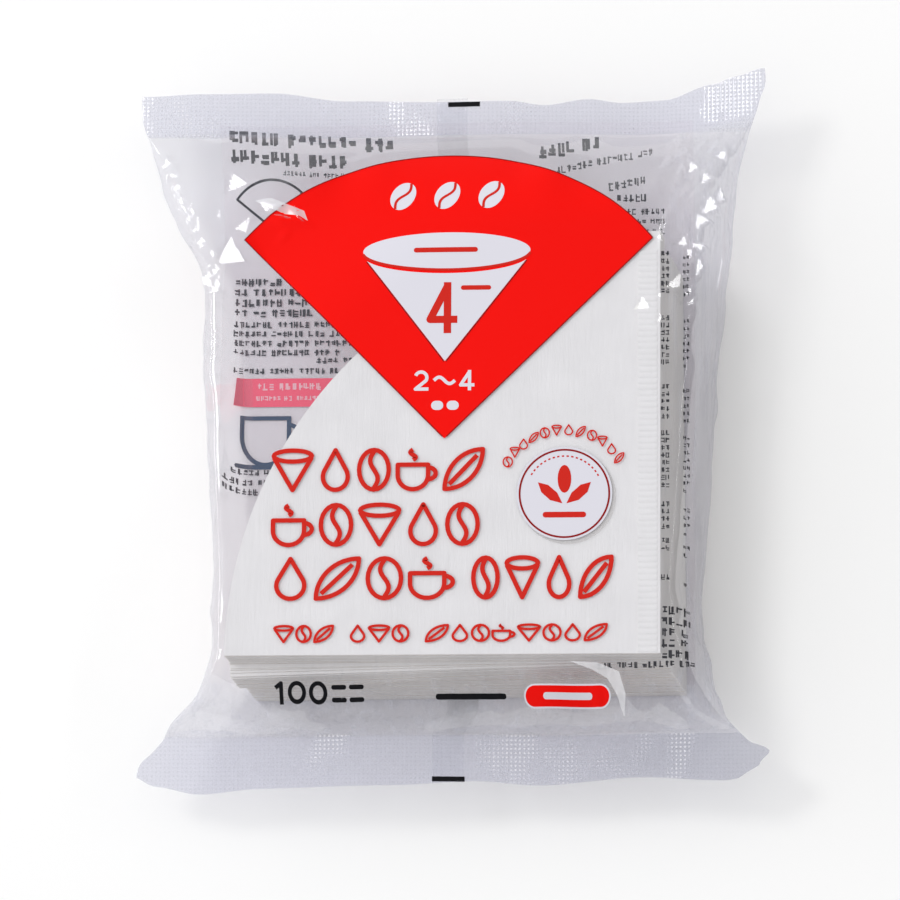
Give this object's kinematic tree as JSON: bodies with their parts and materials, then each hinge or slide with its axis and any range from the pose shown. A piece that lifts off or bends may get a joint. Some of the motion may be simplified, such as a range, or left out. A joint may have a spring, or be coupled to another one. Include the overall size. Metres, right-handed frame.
{
  "type": "pack of paper coffee filters",
  "caption": "Clear film pillow pack with crimped end seals and a back fin, holding a stack of flat-folded cone coffee filters.",
  "frame": {"origin": "middle of the pack's length and seal width, on the surface that the pack's back lies on", "axes": "+X across the pack to the right of its front, +Y from the bottom seal to the top seal, +Z out of the front"},
  "size_m": [0.185, 0.2094, 0.035],
  "materials": {
    "clear_film": "clear, glossy, slightly hazy packing film",
    "filter_paper": "white crepe filter paper, matt, with fine crepe lines",
    "red_print": "opaque bright red ink under the film's gloss",
    "pale_print": "pale ink under the film's gloss",
    "dark_print": "dark grey ink under the film's gloss"
  },
  "bodies": {
    "root": {"film_bag": "clear_film", "front_filter": "filter_paper", "filters_1": "filter_paper", "filters_2": "filter_paper", "filters_3": "filter_paper", "filters_4": "filter_paper", "filters_5": "filter_paper", "filters_6": "filter_paper", "filters_7": "filter_paper", "filters_8": "filter_paper", "filters_9": "filter_paper", "filters_10": "filter_paper", "filters_11": "filter_paper"}
  },
  "joints": []
}
